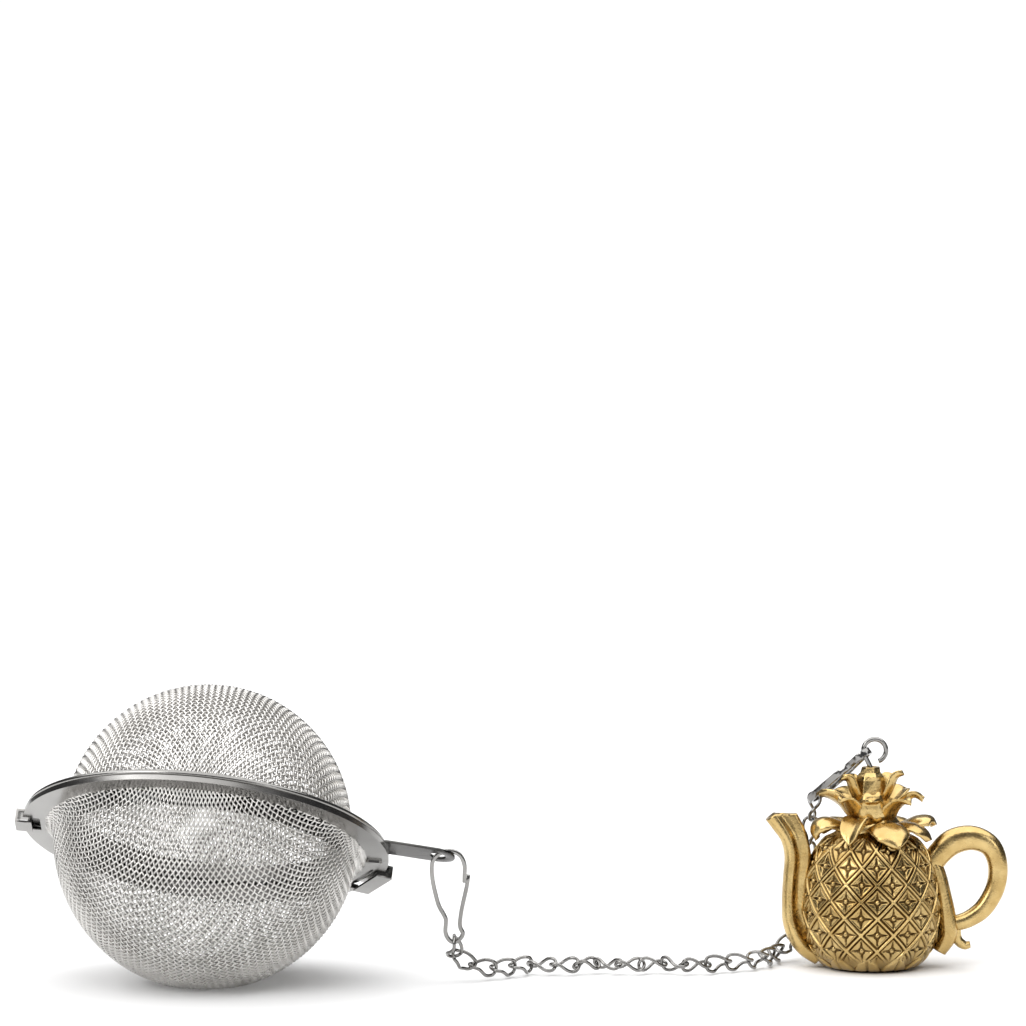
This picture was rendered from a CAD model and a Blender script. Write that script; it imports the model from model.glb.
from math import cos, pi, radians, sin, sqrt

import bpy
import numpy as np
from mathutils import Matrix, Vector


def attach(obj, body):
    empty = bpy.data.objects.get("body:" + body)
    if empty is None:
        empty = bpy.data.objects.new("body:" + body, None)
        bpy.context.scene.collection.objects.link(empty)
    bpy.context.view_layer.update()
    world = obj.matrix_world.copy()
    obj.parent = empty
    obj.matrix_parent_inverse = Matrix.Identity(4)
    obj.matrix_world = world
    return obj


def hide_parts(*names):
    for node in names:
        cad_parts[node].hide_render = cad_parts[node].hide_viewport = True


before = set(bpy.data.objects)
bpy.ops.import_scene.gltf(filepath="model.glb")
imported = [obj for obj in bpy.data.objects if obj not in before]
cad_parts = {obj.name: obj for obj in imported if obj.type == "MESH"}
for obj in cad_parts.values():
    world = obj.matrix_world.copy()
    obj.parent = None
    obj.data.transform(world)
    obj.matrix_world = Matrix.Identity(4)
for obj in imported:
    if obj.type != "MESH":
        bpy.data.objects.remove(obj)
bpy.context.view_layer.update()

MM = 0.001

# ---------------------------------------------------------------- frames, in millimetres
BALL = np.array([-50.55, -1.2, 23.8])
TILT, ROLL = radians(25.4), radians(6.2)
BALL_TURN = np.array(Matrix.Rotation(ROLL, 3, "Y") @ Matrix.Rotation(-TILT, 3, "X"))
CHARM = np.array([58.65, 16.8, 0.0])


def in_ball(points):
    """Points of the ball's own frame, placed in the row frame."""
    return np.asarray(points, float) @ BALL_TURN.T + BALL


# ---------------------------------------------------------------- mesh helpers
def add_object(name, verts, faces, material, smooth=True):
    """A mesh object whose faces all have the same number of sides; verts are in millimetres."""
    mesh = bpy.data.meshes.new(name)
    verts = np.asarray(verts, float) * MM
    faces = np.asarray(faces, int)
    sides = faces.shape[1]
    mesh.vertices.add(len(verts))
    mesh.vertices.foreach_set("co", verts.astype(np.float32).ravel())
    mesh.loops.add(faces.size)
    mesh.loops.foreach_set("vertex_index", faces.astype(np.int32).ravel())
    mesh.polygons.add(len(faces))
    mesh.polygons.foreach_set("loop_start", np.arange(0, faces.size, sides, dtype=np.int32))
    mesh.polygons.foreach_set("use_smooth", np.full(len(faces), smooth))
    mesh.update(calc_edges=True)
    mesh.validate()
    mesh.materials.append(material)
    obj = bpy.data.objects.new(name, mesh)
    bpy.context.scene.collection.objects.link(obj)
    return obj


def tube_rings(points, normals, radius, sides, closed=False):
    """Rings of a round tube along points; normals only steer where each ring starts."""
    points = np.asarray(points, float)
    if closed:
        along = np.roll(points, -1, 0) - np.roll(points, 1, 0)
    else:
        along = np.gradient(points, axis=0)
    along /= np.linalg.norm(along, axis=1)[:, None]
    side = np.cross(along, normals)
    side /= np.linalg.norm(side, axis=1)[:, None]
    up = np.cross(side, along)
    turn = np.linspace(0, 2 * pi, sides, endpoint=False)
    radius = np.broadcast_to(np.asarray(radius, float), len(points))[:, None, None]
    ring = (side[:, None, :] * np.cos(turn)[None, :, None]
            + up[:, None, :] * np.sin(turn)[None, :, None])
    return points[:, None, :] + ring * radius


def skin(rings, closed=False, offset=0):
    """Quads that join each ring of points to the next one."""
    count, sides = rings.shape[:2]
    steps = count if closed else count - 1
    a = np.arange(steps)[:, None] * sides
    b = (np.arange(1, steps + 1)[:, None] % count) * sides
    i = np.arange(sides)[None, :]
    j = (i + 1) % sides
    quads = np.stack([a + i, a + j, b + j, b + i], axis=-1)
    return quads.reshape(-1, 4) + offset


def loft(name, rings, material, closed=False):
    """A skin over rings of points; an open one gets a fan of triangles at each end."""
    rings = np.asarray(rings, float)
    verts = rings.reshape(-1, 3)
    quads = skin(rings, closed)
    if closed:
        return add_object(name, verts, quads, material)
    n = rings.shape[1]
    ends = []
    for ring_index, flip in ((0, False), (len(rings) - 1, True)):
        verts = np.vstack([verts, rings[ring_index].mean(0)])
        hub = len(verts) - 1
        base = ring_index * n
        for i in range(n):
            j = (i + 1) % n
            ends.append([hub, base + i, base + j] if flip else [hub, base + j, base + i])
    faces = [list(q) for q in quads] + ends
    mesh = bpy.data.meshes.new(name)
    mesh.from_pydata([tuple(v * MM) for v in verts], [], faces)
    mesh.polygons.foreach_set("use_smooth", np.full(len(mesh.polygons), True))
    mesh.materials.append(material)
    obj = bpy.data.objects.new(name, mesh)
    bpy.context.scene.collection.objects.link(obj)
    return obj


def smooth_curve(points, count):
    """Catmull-Rom curve through points, evenly sampled by parameter."""
    p = np.asarray(points, float)
    ends = np.vstack([2 * p[0] - p[1], p, 2 * p[-1] - p[-2]])
    out = []
    for t in np.linspace(0, len(p) - 1, count):
        i = min(int(t), len(p) - 2)
        u = t - i
        a, b, c, d = ends[i:i + 4]
        linear = 2 * b + (c - a) * u
        square = (2 * a - 5 * b + 4 * c - d) * u**2
        cube = (3 * b - a - 3 * c + d) * u**3
        out.append(0.5 * (linear + square + cube))
    return np.array(out)


# ---------------------------------------------------------------- materials
def new_material(name, metallic, roughness, color):
    material = bpy.data.materials.new(name)
    material.use_nodes = True
    shader = material.node_tree.nodes["Principled BSDF"]
    shader.inputs["Metallic"].default_value = metallic
    shader.inputs["Roughness"].default_value = roughness
    shader.inputs["Base Color"].default_value = (*color, 1)
    return material, material.node_tree, shader


def noise_ramp(tree, scale, stops, detail=3.0, stretch=(1, 1, 1)):
    """Noise in the piece's own coordinates through a colour ramp."""
    coord = tree.nodes.new("ShaderNodeTexCoord")
    mapping = tree.nodes.new("ShaderNodeMapping")
    mapping.inputs["Scale"].default_value = stretch
    noise = tree.nodes.new("ShaderNodeTexNoise")
    noise.inputs["Scale"].default_value = scale
    noise.inputs["Detail"].default_value = detail
    ramp = tree.nodes.new("ShaderNodeValToRGB")
    elements = ramp.color_ramp.elements
    elements[0].position, elements[0].color = stops[0][0], (*stops[0][1], 1)
    elements[1].position, elements[1].color = stops[-1][0], (*stops[-1][1], 1)
    for position, color in stops[1:-1]:
        element = elements.new(position)
        element.color = (*color, 1)
    tree.links.new(coord.outputs["Object"], mapping.inputs["Vector"])
    tree.links.new(mapping.outputs["Vector"], noise.inputs["Vector"])
    tree.links.new(noise.outputs["Fac"], ramp.inputs["Fac"])
    return noise, ramp


def add_bump(tree, shader, scale, detail, strength, depth):
    """Fine grain; depth is in metres."""
    grain, _ = noise_ramp(tree, scale, [(0, (0, 0, 0)), (1, (1, 1, 1))], detail=detail)
    node = tree.nodes.new("ShaderNodeBump")
    node.inputs["Strength"].default_value = strength
    node.inputs["Distance"].default_value = depth
    tree.links.new(grain.outputs["Fac"], node.inputs["Height"])
    tree.links.new(node.outputs["Normal"], shader.inputs["Normal"])


def grey(value, warm=0.0):
    """A grey; warm moves it a little from blue to red."""
    return (value * (1 + warm), value, value * (1 - 1.6 * warm))


def steel(name, dark, light, rough_low, rough_high, scale, bump=0.0):
    """Bare steel, cloudy between dark and light and between two roughnesses."""
    material, tree, shader = new_material(name, 1.0, 0.2, (light, light, light))
    _, ramp = noise_ramp(tree, scale, [(0.3, grey(dark, 0.025)), (0.7, grey(light, 0.02))])
    tree.links.new(ramp.outputs["Color"], shader.inputs["Base Color"])
    _, rough = noise_ramp(tree, scale * 2.3, [(0.25, grey(rough_low)), (0.75, grey(rough_high))])
    tree.links.new(rough.outputs["Color"], shader.inputs["Roughness"])
    if bump:
        add_bump(tree, shader, 900, 3.0, bump, 0.00005)
    return material


# name, dark, light, lowest and highest roughness, size of the clouds, strength of the grain
mesh_steel = steel("mesh_steel", 0.56, 0.78, 0.22, 0.36, 120)
ring_steel = steel("ring_steel", 0.23, 0.34, 0.15, 0.27, 60, bump=0.12)
collar_steel = steel("collar_steel", 0.15, 0.22, 0.22, 0.34, 60, bump=0.2)
strip_steel = steel("strip_steel", 0.06, 0.09, 0.18, 0.3, 90, bump=0.2)
wire_steel = steel("wire_steel", 0.19, 0.30, 0.07, 0.16, 150, bump=0.1)


def gold_material(name, dark, mid, light, rough, relief):
    """Antique gold: darker where the relief is deep and in cloudy patches."""
    material, tree, shader = new_material(name, 1.0, rough, mid)
    _, clouds = noise_ramp(tree, 260, [(0.3, mid), (0.72, light)], detail=5)
    color = clouds.outputs["Color"]
    if relief:
        attribute = tree.nodes.new("ShaderNodeAttribute")
        attribute.attribute_name = "relief"
        mix = tree.nodes.new("ShaderNodeMix")
        mix.data_type = "RGBA"
        mix.inputs[6].default_value = (*dark, 1)
        tree.links.new(attribute.outputs["Fac"], mix.inputs[0])
        tree.links.new(color, mix.inputs[7])
        color = mix.outputs[2]
    tree.links.new(color, shader.inputs["Base Color"])
    _, rough_ramp = noise_ramp(tree, 700, [(0.2, grey(rough - 0.07)), (0.8, grey(rough + 0.09))])
    tree.links.new(rough_ramp.outputs["Color"], shader.inputs["Roughness"])
    add_bump(tree, shader, 2600, 4, 0.35, 0.00008)
    return material


GOLD_DARK = (0.07, 0.036, 0.009)
GOLD_MID = (0.42, 0.28, 0.10)
GOLD_LIGHT = (0.66, 0.49, 0.22)
gold = gold_material("gold", GOLD_DARK, GOLD_MID, GOLD_LIGHT, 0.25, False)
gold_relief = gold_material("gold_relief", GOLD_DARK, GOLD_MID, GOLD_LIGHT, 0.21, True)

# ---------------------------------------------------------------- woven baskets
PITCH = 0.83
WIRE_R = 0.165
WIRE_SIDES = 5
CRIMP = 0.15  # how far a wire rises and dips at its crossings
UNEVEN = 0.12
TABLE_GAP = 0.02
LEAST_CELL = 0.35  # thinnest cell of the net, as a share of a wire step
LEAST_WIRE = 3  # crossings on the shortest wire that is kept

LOWER_R, LOWER_MOUTH = 24.45, 25.85
LOWER_FOOT_Z = -4.2  # where the bowl leaves the sphere and flares to its mouth
LOWER_MOUTH_Z = -0.75
FLARE_SLOPE = 0.45
FLARE_LENGTH = sqrt(1.2025)  # of the direction (1, slope)
FLARE_STRETCH = 1.05
LOWER_TUCK = 0.9  # how far the wires run on into the clamp
LOWER_AZIMUTH = 40.0
UPPER_R, UPPER_RISE, UPPER_LOW = 23.05, 1.6, 0.35
UPPER_AZIMUTH = 45.0
UPPER_SHIFT = 7.0  # moves the dome's unevenness away from the bowl's


def net_quadrant(radius, reach):
    """Corner points of square weave cells draped on a sphere, pole at -z, in one quarter."""
    count = int(reach / PITCH) + 2
    chord = 2 * radius * sin(PITCH / radius / 2)
    step = PITCH / radius
    grid = np.full((count, count, 3), np.nan)
    for i in range(count):
        grid[i, 0] = (radius * sin(i * step), 0, -radius * cos(i * step))
        grid[0, i] = (0, radius * sin(i * step), -radius * cos(i * step))
    k = radius**2 - chord**2 / 2
    for i in range(1, count):
        for j in range(1, count):
            a, b, old = grid[i - 1, j], grid[i, j - 1], grid[i - 1, j - 1]
            if np.isnan(a[0]) or np.isnan(b[0]):
                continue
            alpha = k / (radius**2 + a @ b)
            cross = np.cross(a, b)
            rest = radius**2 - alpha**2 * ((a + b) @ (a + b))
            length = cross @ cross
            if rest < 0 or length < 1e-9:
                continue
            beta = sqrt(rest / length)
            options = [alpha * (a + b) + s * beta * cross for s in (-1, 1)]
            best = max(options, key=lambda p: (p - old) @ (p - old))
            if (best - old) @ (best - old) < (LEAST_CELL * chord) ** 2:
                continue
            grid[i, j] = best
    return grid


def full_net(quadrant):
    """The quarter net mirrored to all four quarters."""
    n = quadrant.shape[0]
    net = np.full((2 * n - 1, 2 * n - 1, 3), np.nan)
    for sx in (-1, 1):
        for sy in (-1, 1):
            part = quadrant * np.array([sx, sy, 1])
            xs = (n - 1) + sx * np.arange(n)
            ys = (n - 1) + sy * np.arange(n)
            net[np.ix_(xs, ys)] = part
    return net


def weave_rows(net, keep, place, flip):
    """Wires along the net's first index: rows of crossing points with their in-between points."""
    rows = []
    for j in range(net.shape[1]):
        line = net[:, j]
        good = keep[:, j]
        start = None
        for i in range(len(line) + 1):
            inside = i < len(line) and good[i]
            if inside and start is None:
                start = i
            if not inside and start is not None:
                if i - start >= LEAST_WIRE:
                    rows.append((j, start, line[start:i]))
                start = None
    tubes = []
    for j, start, line in rows:
        mids = (line[:-1] + line[1:]) / 2
        count = len(line) + len(mids)
        points = np.empty((count, 3))
        points[0::2], points[1::2] = line, mids
        lift = np.zeros(count)
        sign = np.where((np.arange(len(line)) + start + j) % 2 == 0, 1.0, -1.0) * flip
        lift[0::2] = sign * CRIMP
        tubes.append(place(points, lift))
    return tubes


def weave_piece(name, tubes):
    verts, faces, offset = [], [], 0
    for points, normals in tubes:
        rings = tube_rings(points, normals, WIRE_R, WIRE_SIDES)
        verts.append(rings.reshape(-1, 3))
        faces.append(skin(rings, offset=offset))
        offset += rings.shape[0] * WIRE_SIDES
    return add_object(name, np.vstack(verts), np.vstack(faces), mesh_steel)


def bowl_profile(arc):
    """Radius, height and normal of the bowl's middle surface at an arc length from the pole,
    and the arc length of its mouth. A sphere below, then a smooth flare to the mouth."""
    radius, foot_z = LOWER_R, LOWER_FOOT_Z
    foot_arc = radius * (pi / 2 - np.arcsin(-foot_z / radius))
    foot_r = sqrt(radius**2 - foot_z**2)
    end = np.array([LOWER_MOUTH, LOWER_MOUTH_Z])
    start = np.array([foot_r, foot_z])
    t0 = np.array([-foot_z, foot_r]) / radius
    t1 = np.array([1.0, FLARE_SLOPE]) / FLARE_LENGTH
    span = np.linalg.norm(end - start) * FLARE_STRETCH
    angle = arc / radius
    r = radius * np.sin(angle)
    z = -radius * np.cos(angle)
    tangent = np.stack([np.cos(angle), np.sin(angle)], -1)
    over = arc > foot_arc
    u = np.clip((arc[over] - foot_arc) / span, 0, 1.6)[:, None]
    h = (2 * u**3 - 3 * u**2 + 1) * start + (u**3 - 2 * u**2 + u) * t0 * span
    h = h + (3 * u**2 - 2 * u**3) * end + (u**3 - u**2) * t1 * span
    past = u[:, 0] > 1
    h[past] = end + t1 * (u[past] - 1) * span
    d = (6 * u**2 - 6 * u) * start + (3 * u**2 - 4 * u + 1) * t0 * span
    d = d + (6 * u - 6 * u**2) * end + (3 * u**2 - 2 * u) * t1 * span
    d[past] = t1 * span
    r[over], z[over] = h[:, 0], h[:, 1]
    tangent[over] = d / np.linalg.norm(d, axis=1)[:, None]
    normal = np.stack([tangent[:, 1], -tangent[:, 0]], -1)
    return r, z, normal, foot_arc + span


def wobble(points, size):
    """Slow unevenness of a hand-pressed mesh."""
    p = points * 0.23
    return size * np.stack([
        np.sin(p[:, 1] * 1.3 + p[:, 2] * 0.7 + 1.0) + 0.5 * np.sin(p[:, 2] * 2.9 + 2.0),
        np.sin(p[:, 2] * 1.1 + p[:, 0] * 0.9 + 2.5) + 0.5 * np.sin(p[:, 0] * 3.1 + 0.5),
        np.sin(p[:, 0] * 1.2 - p[:, 1] * 0.8 + 4.0) + 0.5 * np.sin(p[:, 1] * 2.7 + 1.5),
    ], -1)


def cut_net(radius, reach, arc_end):
    """The net on a sphere, and which of its points are nearer to the pole than arc_end."""
    net = full_net(net_quadrant(radius, reach))
    flat = net.reshape(-1, 3)
    arcs = radius * np.arccos(np.clip(-flat[:, 2] / radius, -1, 1))
    keep = (~np.isnan(flat[:, 0]) & (arcs < arc_end)).reshape(net.shape[:2])
    return net, keep


def on_sphere(points, azimuth, radius, shift):
    """Arc length from the pole and direction in plan of net points, turned and made uneven."""
    turn = np.array(Matrix.Rotation(radians(azimuth), 3, "Z"))
    points = points @ turn.T
    points = points + wobble(points + shift, UNEVEN)
    points *= radius / np.linalg.norm(points, axis=1)[:, None]
    arc = radius * np.arccos(np.clip(-points[:, 2] / radius, -1, 1))
    flat_r = np.maximum(np.hypot(points[:, 0], points[:, 1]), 1e-6)
    return arc, np.stack([points[:, 0] / flat_r, points[:, 1] / flat_r], -1)


def weave_pair(stem, net, keep, place):
    """The wires of both directions of one basket."""
    made = []
    for way, grid, mask, flip in (
        ("warp", net, keep, 1),
        ("weft", net.transpose(1, 0, 2), keep.T, -1),
    ):
        made.append(weave_piece(stem + way, weave_rows(grid, mask, place, flip)))
    return made


def build_lower(azimuth):
    arc_end = bowl_profile(np.array([1.0]))[3]
    net, keep = cut_net(LOWER_R, arc_end + 4, arc_end + LOWER_TUCK)

    def place(points, lift):
        arc, out = on_sphere(points, azimuth, LOWER_R, 0.0)
        r, z, normal, _ = bowl_profile(arc)
        position = np.column_stack([out * r[:, None], z])
        normals = np.column_stack([out * normal[:, :1], normal[:, 1]])
        world = in_ball(position + normals * lift[:, None])
        lowest = WIRE_R + TABLE_GAP
        floor = lowest + (CRIMP - lift)
        low = world[:, 2] < floor
        world[low, 2] = floor[low] * 0.5 + np.maximum(world[low, 2], lowest) * 0.5
        return world, normals @ BALL_TURN.T

    return weave_pair("weave_lower_", net, keep, place)


def build_upper(azimuth):
    radius = UPPER_R
    foot = UPPER_RISE - UPPER_LOW
    quarter = radius * pi / 2
    net, keep = cut_net(radius, quarter + foot + 3, quarter + foot)

    def place(points, lift):
        arc, out = on_sphere(points, azimuth, radius, UPPER_SHIFT)
        angle = np.minimum(arc / radius, pi / 2)
        r = radius * np.sin(angle)
        z = UPPER_RISE + radius * np.cos(angle) - np.maximum(arc - quarter, 0)
        position = np.column_stack([out * r[:, None], z])
        normals = np.column_stack([out * np.sin(angle)[:, None], np.cos(angle)])
        return in_ball(position + normals * lift[:, None]), normals @ BALL_TURN.T

    return weave_pair("weave_upper_", net, keep, place)


for piece in build_lower(LOWER_AZIMUTH):
    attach(piece, "lower_half")
    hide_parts("lower_basket")
for piece in build_upper(UPPER_AZIMUTH):
    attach(piece, "upper_half")
    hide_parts("upper_basket")

# ---------------------------------------------------------------- carried-over steel pieces
WELD_DISTANCE = 0.00001
SHARP_ANGLE = radians(40)
# material, width of the rounded edges and how much fuller the piece is drawn on every side
CARRIED = {
    "lower_rim": (ring_steel, 0.07, 0),
    "lower_collar": (collar_steel, 0.05, 0),
    "upper_rim": (ring_steel, 0.07, 0),
    "upper_collar": (collar_steel, 0.05, 0),
    "handle_strip": (strip_steel, 0.09, 0),
    "clip_1": (wire_steel, 0.14, 0.08),
    "clip_2": (wire_steel, 0.14, 0.08),
    "screw_eye": (wire_steel, 0.0, 0.11),
}
for node, (material, width, fuller) in CARRIED.items():
    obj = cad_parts[node]
    obj.data.materials.clear()
    obj.data.materials.append(material)
    obj.data.polygons.foreach_set("use_smooth", np.full(len(obj.data.polygons), True))
    weld = obj.modifiers.new("weld", "WELD")
    weld.merge_threshold = WELD_DISTANCE
    if width:
        bevel = obj.modifiers.new("bevel", "BEVEL")
        bevel.width = width * MM
        bevel.segments = 2
        bevel.limit_method = "ANGLE"
        bevel.angle_limit = SHARP_ANGLE
        bevel.use_clamp_overlap = True
    if fuller:
        swell = obj.modifiers.new("swell", "DISPLACE")
        swell.strength = fuller * MM
        swell.mid_level = 0
    by_angle = obj.modifiers.new("normals", "WEIGHTED_NORMAL")
    by_angle.keep_sharp = True

# ---------------------------------------------------------------- chain links
LINK_HALF, LINK_END, LINK_WIRE = 2.36, 1.41, 0.28  # half length, end radius, wire radius
LINK_STEPS, LINK_SIDES = 44, 12
END_REACH = 0.5  # the part of a link that counts as its end
TWIST_ROOM = 0.75  # how far into the round ends the twist runs


def link_frame(points):
    """Centre, length direction and both end directions of a twisted link, from its solid."""
    centre = (points.max(0) + points.min(0)) / 2
    for _ in range(2):
        _, vectors = np.linalg.eigh(np.cov((points - centre).T))
        along = vectors[:, -1]
        s = (points - centre) @ along
        centre = centre + along * (s.max() + s.min()) / 2
    s = (points - centre) @ along
    ends, middles = [], []
    for side in (-1, 1):
        near = points[s * side > LINK_HALF - END_REACH]
        flat = near - np.outer((near - centre) @ along, along)
        _, v = np.linalg.eigh(np.cov((flat - flat.mean(0)).T))
        ends.append(v[:, -1])
        middles.append(flat.mean(0))
    centre_line = (middles[0] + middles[1]) / 2
    centre = centre_line + along * (centre @ along - centre_line @ along)
    if ends[0] @ ends[1] < 0:
        ends[1] = -ends[1]
    return centre, along, ends


def link_rings(points):
    """Rings of an oval wire link whose two ends are turned against each other."""
    centre, along, (low, high) = link_frame(points)
    low = low - along * (low @ along)
    high = high - along * (high @ along)
    low /= np.linalg.norm(low)
    high /= np.linalg.norm(high)
    total = np.arctan2(np.cross(low, high) @ along, low @ high)
    straight = LINK_HALF - LINK_END
    t = np.linspace(0, 2 * pi, LINK_STEPS, endpoint=False)
    shank = np.sign(np.cos(t)) * straight * np.minimum(np.abs(np.cos(t)) * 1.6, 1)
    x = shank + LINK_END * np.cos(t)
    across = LINK_END * np.sin(t) * (1 - 0.06 * np.sin(t) ** 8)
    share = np.clip((x / (straight + TWIST_ROOM) + 1) / 2, 0, 1)
    share = share * share * (3 - 2 * share)
    angle = share * total
    spread = (low[None] * np.cos(angle)[:, None]
              + np.cross(along, low)[None] * np.sin(angle)[:, None])
    line = centre + along * x[:, None] + spread * across[:, None]
    normals = np.cross(along, spread)
    return tube_rings(line, normals, LINK_WIRE, LINK_SIDES, closed=True)


link_names = sorted(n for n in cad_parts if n.startswith("link_"))
for node in link_names:
    solid = np.array([tuple(v.co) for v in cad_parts[node].data.vertices]) / MM
    piece = loft("chain_" + node, link_rings(solid), wire_steel, closed=True)
    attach(piece, node)
    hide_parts(node)

# ---------------------------------------------------------------- charm
BODY_TOP, SHELL_TOP = 23.6, 23.5
# height and radius up the body
BODY_R = [(0.0, 6.7), (0.5, 7.8), (1.3, 8.9), (2.6, 10.0), (4.6, 11.0), (7.0, 11.5), (10.0, 11.65),
          (13.0, 11.35), (15.6, 10.9), (18.0, 10.15), (19.9, 9.15), (21.4, 7.8), (22.6, 6.1),
          (BODY_TOP, 4.2)]
CELLS = 13  # diamonds round the body
ROW = 5.45  # height of a diamond
ROW_PHASE = 4.0
RELIEF_ROOM = 0.3  # kept back from the body's radius for the raised relief
CELL_TURN = radians(285)
STRAP_UP, GROOVE_DOWN, RIM_UP, STAR_DOWN, DOT_UP = 0.30, 0.26, 0.10, 0.30, 0.14
BASE_LEAVES = 11
STAR_REACH = 0.66


def body_radius(z):
    """Radius of the body under its relief at a height."""
    table = np.array(BODY_R)
    heights = np.linspace(0, BODY_TOP, 200)
    curve = smooth_curve(table, 600)
    order = np.argsort(curve[:, 0])
    fine = np.interp(heights, curve[order, 0], curve[order, 1])
    return np.interp(z, heights, fine) - RELIEF_ROOM


def smooth_step(value, low, high):
    """0 up to low, 1 from high on, an s-curve between them."""
    t = np.clip((value - low) / (high - low), 0, 1)
    return t * t * (3 - 2 * t)


def body_relief(azimuth, z):
    """Height of the pineapple relief: ridged diamonds, each with an engraved star and a dot."""
    u = (azimuth - CELL_TURN) / (2 * pi) * CELLS
    v = (z - ROW_PHASE) / ROW
    p = (u + v + 0.5) % 1 - 0.5
    q = (u - v + 0.5) % 1 - 0.5
    edge = 0.5 - np.maximum(np.abs(p), np.abs(q))
    strap = 1 - smooth_step(edge, 0.035, 0.07)
    strap = strap * (0.8 + 0.2 * smooth_step(edge, 0.0, 0.03))
    groove = smooth_step(edge, 0.05, 0.08) * (1 - smooth_step(edge, 0.10, 0.135))
    rim = smooth_step(edge, 0.10, 0.13) * (1 - smooth_step(edge, 0.15, 0.19))
    north = (p + q)
    east = (p - q)
    dist = np.hypot(north, east) / sqrt(2) * 1.15
    arms = np.zeros_like(p)
    for a, b in ((north, east), (east, north)):
        width = 0.15 * np.clip(1 - np.abs(a) / STAR_REACH, 0, 1)
        arm = 1 - smooth_step(np.abs(b), width * 0.4, width + 0.03)
        arms = np.maximum(arms, arm * (np.abs(a) < STAR_REACH))
    ring = smooth_step(dist, 0.10, 0.13) * (1 - smooth_step(dist, 0.17, 0.21))
    inside = smooth_step(edge, 0.14, 0.17)
    cut = np.maximum(arms * smooth_step(dist, 0.1, 0.13), ring) * inside
    dot = 1 - smooth_step(dist, 0.0, 0.11)
    height = STRAP_UP * strap - GROOVE_DOWN * groove + RIM_UP * rim + 0.02
    height = height - STAR_DOWN * cut + DOT_UP * dot
    tone = np.clip(0.86 - 0.95 * groove - 0.85 * cut + 0.3 * strap, 0.05, 1)
    fade = smooth_step(z, 1.6, 3.2) * (1 - smooth_step(z, 21.2, 22.4))
    leaf_u = azimuth / (2 * pi) * BASE_LEAVES
    leaf_p = np.abs((leaf_u + 0.5) % 1 - 0.5) * 2
    top = 2.6 - 2.1 * leaf_p**1.6
    base = (1 - smooth_step(z, top - 0.25, top + 0.1)) * smooth_step(z, 0.2, 0.7)
    vein = (1 - smooth_step(leaf_p, 0.03, 0.12)) * base
    height = height * fade * (1 - base) + 0.34 * base - 0.2 * vein
    tone = tone * fade + (1 - fade) * 0.6
    tone = tone * (1 - base) + base * 0.85 - 0.3 * vein
    return height, np.clip(tone, 0.05, 1)


def pineapple(name, start, stop, columns, rows):
    """One side of the body between two azimuths, with the depth of its relief as an attribute."""
    azimuth = np.linspace(radians(start), radians(stop), columns + 1)
    z = np.linspace(0.0, SHELL_TOP, rows + 1)
    grid_a, grid_z = np.meshgrid(azimuth, z)
    radius = body_radius(grid_z)
    slope = np.gradient(body_radius(z), z)[:, None]
    height, tone = body_relief(grid_a, grid_z)
    scale = 1 / np.sqrt(1 + slope**2)
    r = radius + height * scale
    zz = grid_z - height * slope * scale
    zz = np.maximum(zz, 0.02)
    verts = np.stack([r * np.cos(grid_a), r * np.sin(grid_a), zz], -1) + CHARM
    a = np.arange(rows)[:, None] * (columns + 1)
    i = np.arange(columns)[None, :]
    quads = np.stack([a + i, a + i + 1, a + columns + 2 + i, a + columns + 1 + i], -1)
    quads = quads.reshape(-1, 4)
    obj = add_object(name, verts.reshape(-1, 3), quads, gold_relief)
    attribute = obj.data.attributes.new("relief", "FLOAT", "POINT")
    attribute.data.foreach_set("value", tone.astype(np.float32).ravel())
    return obj


charm_pieces = []
for name, start, stop in (("charm_front", 180, 360), ("charm_back", 0, 180)):
    charm_pieces.append(pineapple(name, start, stop, 330, 260))


def lathe(name, profile, sides, wave=0.0, waves=6, start=0.0, drift=0.0):
    """Rings round the charm's axis; wave lobes them, drift turns the lobes level by level."""
    turn = np.linspace(0, 2 * pi, sides, endpoint=False) + start
    rings = []
    for level, (r, z) in enumerate(profile):
        rr = r * (1 + wave * np.cos(turn * waves + drift * level))
        rings.append(np.column_stack([rr * np.cos(turn), rr * np.sin(turn), np.full(sides, z)]) + CHARM)
    return loft(name, rings, gold)


# radius and height
BASE = [(7.0, 0.02), (5.6, 0.02), (5.2, 0.35), (0.4, 0.35)]
CORE = [(5.6, 22.0), (4.6, 24.0), (3.4, 25.8), (3.0, 27.4), (2.5, 28.6), (2.2, 29.4)]
STUB = [(2.2, 28.2), (2.5, 28.9), (2.35, 31.2), (2.25, 31.9), (1.75, 32.5), (1.6, 33.4),
        (1.0, 33.4), (0.8, 33.0)]
charm_pieces.append(lathe("charm_base", BASE, 96))
charm_pieces.append(lathe("charm_core", CORE, 48, wave=0.07))

# the stub is cast in flat facets, rounded only by its bevels
stub = lathe("charm_stub", STUB, 7, wave=0.06, waves=3, start=0.5, drift=1.0)
stub.data.polygons.foreach_set("use_smooth", np.zeros(len(stub.data.polygons), bool))
stub_bevel = stub.modifiers.new("bevel", "BEVEL")
stub_bevel.width = 0.12 * MM
stub_bevel.segments = 2
charm_pieces.append(stub)


LEAF_STEPS, LEAF_SECTION = 26, 24
LEAF_OUTLINE = ([0, 0.25, 0.5, 0.72, 0.88, 0.96, 1], [0.8, 0.98, 1.0, 0.86, 0.52, 0.26, 0.08])


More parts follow.
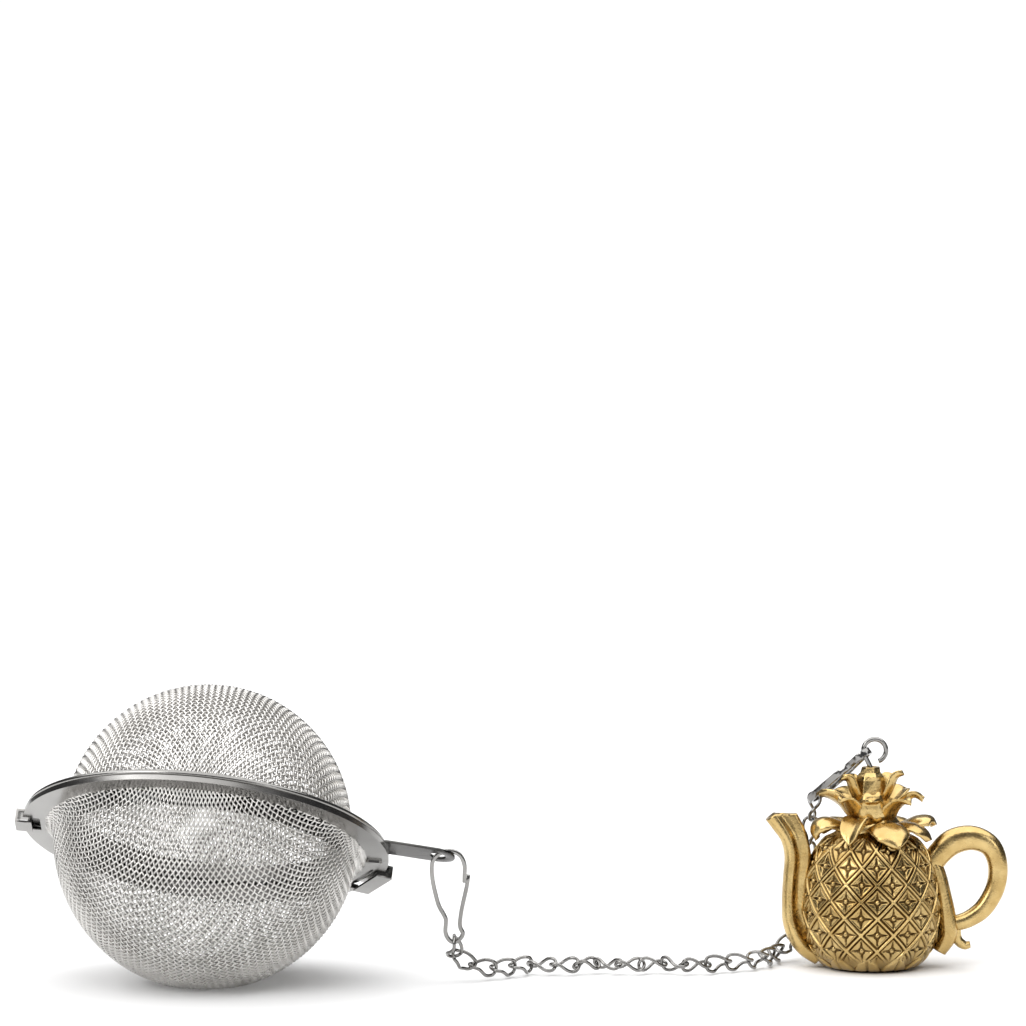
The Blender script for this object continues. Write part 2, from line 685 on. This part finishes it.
def leaf(name, azimuth, spine, width, thick, cup, twist, curl):
    """A fleshy pointed leaf: a spine in its own upright plane, a hollow face and a rounded back."""
    steps = LEAF_STEPS
    line = smooth_curve(spine, steps)
    t = np.linspace(0, 1, steps)
    tangent = np.gradient(line, axis=0)
    tangent /= np.linalg.norm(tangent, axis=1)[:, None]
    normal = np.column_stack([-tangent[:, 1], tangent[:, 0]])
    half = width / 2 * np.interp(t, *LEAF_OUTLINE)
    a = radians(azimuth)
    out = np.array([cos(a), sin(a), 0])
    side = np.array([-sin(a), cos(a), 0])
    up = np.array([0, 0, 1.0])
    rings = []
    for k in range(steps):
        centre = out * line[k, 0] + up * line[k, 1]
        nrm = out * normal[k, 0] + up * normal[k, 1]
        angle = twist * t[k]
        lean = side * cos(angle) + nrm * sin(angle)
        lift = nrm * cos(angle) - side * sin(angle)
        ring = []
        for w in np.linspace(0, 2 * pi, LEAF_SECTION, endpoint=False):
            x = np.sign(cos(w)) * abs(cos(w)) ** 0.8
            body = thick / 2 * np.sign(sin(w)) * abs(sin(w)) ** 0.7 * (1.0 - 0.3 * t[k])
            hollow = cup * abs(x) ** 1.7 * (half[k] / (width / 2))
            groove = 0.16 * np.exp(-(x / 0.13) ** 2) * (1 if sin(w) > 0 else -1.3)
            veins = 0.05 * sin(x * 14 + t[k] * 5) * (1 - t[k])
            edge = curl * x * t[k] ** 2
            ring.append(centre + lean * x * half[k] + lift * (body + hollow - groove + veins + edge))
        rings.append(np.array(ring) + CHARM)
    return loft(name, rings, gold)


# spines of the leaves at the back: reach and height from root to tip
LOW_BACK = [(3.0, 22.8), (5.4, 24.0), (7.6, 24.1), (9.5, 23.0), (10.2, 21.6)]
MID_BACK = [(2.4, 24.4), (4.0, 26.0), (5.4, 27.6), (7.0, 28.5), (8.4, 28.4)]
TOP_BACK = [(1.9, 27.4), (2.9, 28.8), (3.5, 30.2), (4.2, 31.3), (5.2, 31.4)]
# each leaf: azimuth, width, thickness, cup, twist, curl, then its spine
LEAVES = (
    ("low_left", 194, 5.4, 1.5, -0.9, -0.25, 0.4,
     [(3.0, 22.6), (5.2, 23.9), (7.6, 24.7), (9.3, 24.2), (9.9, 22.8), (9.3, 21.6)]),
    ("low_front_left", 243, 4.6, 1.2, 0.9, 0.2, 0.0,
     [(3.2, 23.4), (4.8, 24.6), (6.6, 24.5), (8.3, 23.1), (9.1, 21.2)]),
    ("low_front_right", 291, 6.6, 1.2, -0.8, 0.15, 0.3,
     [(3.0, 23.0), (5.0, 24.2), (7.2, 24.0), (9.2, 22.7), (10.3, 20.9)]),
    ("low_right_front", 332, 5.4, 1.2, -0.7, -0.2, 0.3,
     [(3.0, 22.9), (5.4, 24.0), (7.8, 24.0), (9.7, 23.0), (10.5, 21.6)]),
    ("low_right", 2, 5.0, 1.4, -0.6, 0.2, 0.2,
     [(3.0, 22.8), (5.6, 23.7), (7.9, 24.6), (9.9, 24.6), (10.6, 23.5)]),
    ("low_back_right", 45, 5.6, 1.2, -0.8, 0.2, 0.2, LOW_BACK),
    ("low_back", 92, 5.8, 1.2, -0.8, -0.15, 0.2, LOW_BACK),
    ("low_back_left", 140, 5.6, 1.2, -0.8, 0.2, 0.2, LOW_BACK),
    ("mid_left", 182, 5.0, 1.1, 0.9, 0.25, 0.3,
     [(2.4, 24.2), (3.8, 25.7), (5.2, 27.4), (6.9, 28.5), (8.6, 29.0)]),
    ("mid_left_front", 222, 4.2, 1.0, 0.8, -0.2, 0.2,
     [(2.6, 24.4), (4.0, 25.6), (5.0, 27.0), (6.2, 28.2), (7.4, 28.2)]),
    ("mid_front", 268, 4.6, 1.3, 0.5, 0.1, 0.0,
     [(3.0, 24.2), (4.3, 25.2), (4.5, 26.6), (4.6, 27.8), (5.6, 28.5)]),
    ("mid_front_right", 316, 4.8, 1.1, 0.8, 0.2, -0.3,
     [(2.6, 24.2), (4.1, 25.3), (5.2, 26.8), (6.8, 28.0), (8.4, 27.9)]),
    ("mid_right", 352, 4.8, 1.1, 0.9, -0.25, 0.3,
     [(2.4, 24.4), (4.0, 26.0), (5.6, 27.6), (7.2, 28.6), (8.7, 28.0)]),
    ("mid_back_right", 38, 4.8, 1.1, 0.9, 0.2, 0.0,
     [(2.4, 24.4), (4.0, 26.0), (5.4, 27.8), (7.0, 28.9), (8.2, 28.9)]),
    ("mid_back", 88, 4.8, 1.1, 0.9, 0.2, 0.0, MID_BACK),
    ("mid_back_left", 136, 4.8, 1.1, 0.9, -0.2, 0.0, MID_BACK),
    ("top_left", 190, 3.0, 1.0, 0.6, 0.3, 0.2,
     [(1.9, 27.2), (2.8, 28.6), (3.4, 30.0), (3.9, 31.3), (5.1, 31.6)]),
    ("top_right", 350, 3.0, 1.0, 0.6, -0.3, -0.2,
     [(1.9, 27.4), (2.9, 28.8), (3.6, 30.3), (4.2, 31.8), (5.4, 32.5)]),
    ("top_right_back", 40, 3.0, 1.0, 0.6, 0.2, 0.2, TOP_BACK),
    ("top_back", 92, 3.0, 1.0, 0.6, 0.0, 0.2, TOP_BACK),
    ("top_left_back", 142, 3.0, 1.0, 0.6, -0.2, 0.2, TOP_BACK),
)
for tag, azimuth, width, thick, cup, twist, curl, spine in LEAVES:
    charm_pieces.append(leaf("leaf_" + tag, azimuth, spine, width, thick, cup, twist, curl))


SWEEP_LOWEST = 0.3


def section_sweep(name, path, halves, widths, section, count=60, top=100.0):
    """Sweep in the charm's x-z plane, never above top: halves across the path, widths along y,
    section is a closed outline of unit size."""
    line = smooth_curve(path, count)
    half = smooth_curve([(h, w) for h, w in zip(halves, widths)], count)
    tangent = np.gradient(line, axis=0)
    tangent /= np.linalg.norm(tangent, axis=1)[:, None]
    left = np.column_stack([-tangent[:, 1], tangent[:, 0]])
    rings = []
    for k in range(count):
        ring = []
        for across, wide in section:
            x = line[k, 0] + left[k, 0] * across * half[k, 0]
            z = line[k, 1] + left[k, 1] * across * half[k, 0]
            ring.append((x, wide * half[k, 1], min(max(z, SWEEP_LOWEST), top)))
        rings.append(np.array(ring) + CHARM)
    return loft(name, rings, gold)


def superellipse(power, count=28):
    """A closed outline between a circle (power 1) and a square (power 0)."""
    out = []
    for k in range(count):
        w = 2 * pi * k / count
        c, s = cos(w), sin(w)
        out.append((np.sign(c) * abs(c) ** power, np.sign(s) * abs(s) ** power))
    return out


ROUND = superellipse(0.8)
SPOUT_SECTION = [
    (1.0, 0.0), (0.97, 0.45), (0.8, 0.82), (0.55, 0.98), (0.3, 1.0), (0.16, 0.9), (0.08, 0.72),
    (-0.1, 0.6), (-0.4, 0.56), (-0.75, 0.62), (-1.0, 0.55), (-1.0, 0.0), (-1.0, -0.55),
    (-0.75, -0.62), (-0.4, -0.56), (-0.1, -0.6), (0.08, -0.72), (0.16, -0.9), (0.3, -1.0),
    (0.55, -0.98), (0.8, -0.82), (0.97, -0.45),
]
SPOUT_TOP = 25.6
spout_path = [(-8.0, 2.2), (-10.6, 4.4), (-12.2, 7.4), (-12.7, 11.0), (-12.5, 15.0), (-12.2, 18.6),
              (-12.9, 21.8), (-14.3, 24.3), (-15.6, 26.0)]
charm_pieces.append(section_sweep(
    "charm_spout", spout_path, [2.2, 2.5, 2.4, 2.1, 2.1, 2.2, 2.2, 2.4, 2.4],
    [2.3, 2.5, 2.5, 2.3, 2.2, 2.2, 2.1, 1.8, 1.6], SPOUT_SECTION, top=SPOUT_TOP))
handle_path = [(9.6, 16.4), (11.4, 18.9), (13.7, 20.9), (16.9, 21.5), (19.8, 20.2), (21.1, 17.2),
               (20.8, 13.4), (18.9, 9.9), (16.4, 8.0), (14.0, 7.2)]
charm_pieces.append(section_sweep(
    "charm_handle", handle_path, [1.9, 2.0, 2.15, 2.05, 1.8, 1.65, 1.6, 1.55, 1.4, 1.3],
    [1.9, 1.9, 1.8, 1.75, 1.7, 1.65, 1.6, 1.55, 1.5, 1.5], ROUND))
charm_pieces.append(section_sweep(
    "charm_strap", [(9.9, 18.6), (11.1, 15.6), (12.0, 12.0), (12.6, 8.6), (12.8, 5.4), (11.4, 2.6)],
    [1.2, 1.4, 1.45, 1.6, 1.6, 1.2], [1.8, 2.0, 2.1, 2.2, 2.2, 1.9], ROUND))
charm_pieces.append(section_sweep(
    "charm_tail", [(14.0, 8.2), (14.1, 6.2), (14.5, 4.5), (15.6, 3.6), (16.6, 3.7)],
    [1.1, 0.95, 0.85, 0.75, 0.55], [1.3, 1.1, 0.95, 0.8, 0.6], ROUND, count=30))
for piece in charm_pieces:
    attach(piece, "charm")
    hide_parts("charm_body")

# ---------------------------------------------------------------- floor, world, lights, camera
FLOOR_HALF, FLOOR_Z = 4000, -0.05
CAMERA_AT = (-0.00085, -0.6979, 0.1093)
CAMERA_DOWN = 2.70  # degrees below level
LENS = 151.5
LOOK_AT = (0, 0, 0.02)
# place and brightness of the world from the near side to the far side, which is brightest
SKY_BANDS = ((0.3, 0.08), (0.6, 0.06), (0.93, 0.09), (0.978, 0.3))

floor_material, floor_tree, floor_shader = new_material("floor", 0.0, 0.6, (0.93, 0.93, 0.93))
_, floor_ramp = noise_ramp(floor_tree, 4, [(0.3, grey(0.925)), (0.7, grey(0.935))])
floor_tree.links.new(floor_ramp.outputs["Color"], floor_shader.inputs["Base Color"])
floor_shader.inputs["Specular IOR Level"].default_value = 0.1
corners = [(FLOOR_HALF * x, FLOOR_HALF * y, FLOOR_Z) for x, y in ((-1, -1), (1, -1), (1, 1), (-1, 1))]
floor = add_object("floor", corners, [(0, 1, 2, 3)], floor_material, smooth=False)

world = bpy.data.worlds.new("studio")
bpy.context.scene.world = world
world.use_nodes = True
tree = world.node_tree
background = tree.nodes["Background"]
coord = tree.nodes.new("ShaderNodeTexCoord")
split = tree.nodes.new("ShaderNodeSeparateXYZ")
tree.links.new(coord.outputs["Generated"], split.inputs["Vector"])
ramp = tree.nodes.new("ShaderNodeValToRGB")
shift = tree.nodes.new("ShaderNodeMath")
shift.operation = "MULTIPLY_ADD"
shift.inputs[1].default_value = 0.5
shift.inputs[2].default_value = 0.5
tree.links.new(split.outputs["Y"], shift.inputs[0])
tree.links.new(shift.outputs["Value"], ramp.inputs["Fac"])
elements = ramp.color_ramp.elements
elements[0].position, elements[0].color = 0.0, (0.15, 0.15, 0.155, 1)
elements[1].position, elements[1].color = 0.985, (1.05, 1.05, 1.05, 1)
for position, value in SKY_BANDS:
    element = elements.new(position)
    element.color = (value, value, value * 1.02, 1)
tree.links.new(ramp.outputs["Color"], background.inputs["Color"])
background.inputs["Strength"].default_value = 1.0


def aim(obj, place, target):
    obj.location = place
    way = Vector(target) - Vector(place)
    obj.rotation_euler = way.to_track_quat("-Z", "Y").to_euler()


def area(name, place, target, size, size_y, power):
    light = bpy.data.lights.new(name, "AREA")
    light.shape = "RECTANGLE"
    light.size = size
    light.size_y = size_y
    light.energy = power
    obj = bpy.data.objects.new(name, light)
    bpy.context.scene.collection.objects.link(obj)
    aim(obj, place, target)


sky = bpy.data.lights.new("sky", "SUN")
sky.energy = 4.2
sky.angle = radians(105)
sky_obj = bpy.data.objects.new("sky", sky)
bpy.context.scene.collection.objects.link(sky_obj)
aim(sky_obj, (-0.1, -0.02, 1), (0, 0, 0))
area("key", (-0.62, -0.6, 0.42), LOOK_AT, 0.5, 0.4, 3.0)
area("fill", (0.55, -0.7, 0.3), LOOK_AT, 0.2, 0.4, 0.7)

camera = bpy.data.cameras.new("camera")
camera.lens = LENS
camera.clip_end = 20
camera.clip_start = 0.01
view = bpy.data.objects.new("camera", camera)
bpy.context.scene.collection.objects.link(view)
view.location = CAMERA_AT
view.rotation_euler = (radians(90 - CAMERA_DOWN), 0, 0)
bpy.context.scene.camera = view
bpy.context.scene.view_settings.view_transform = "Standard"
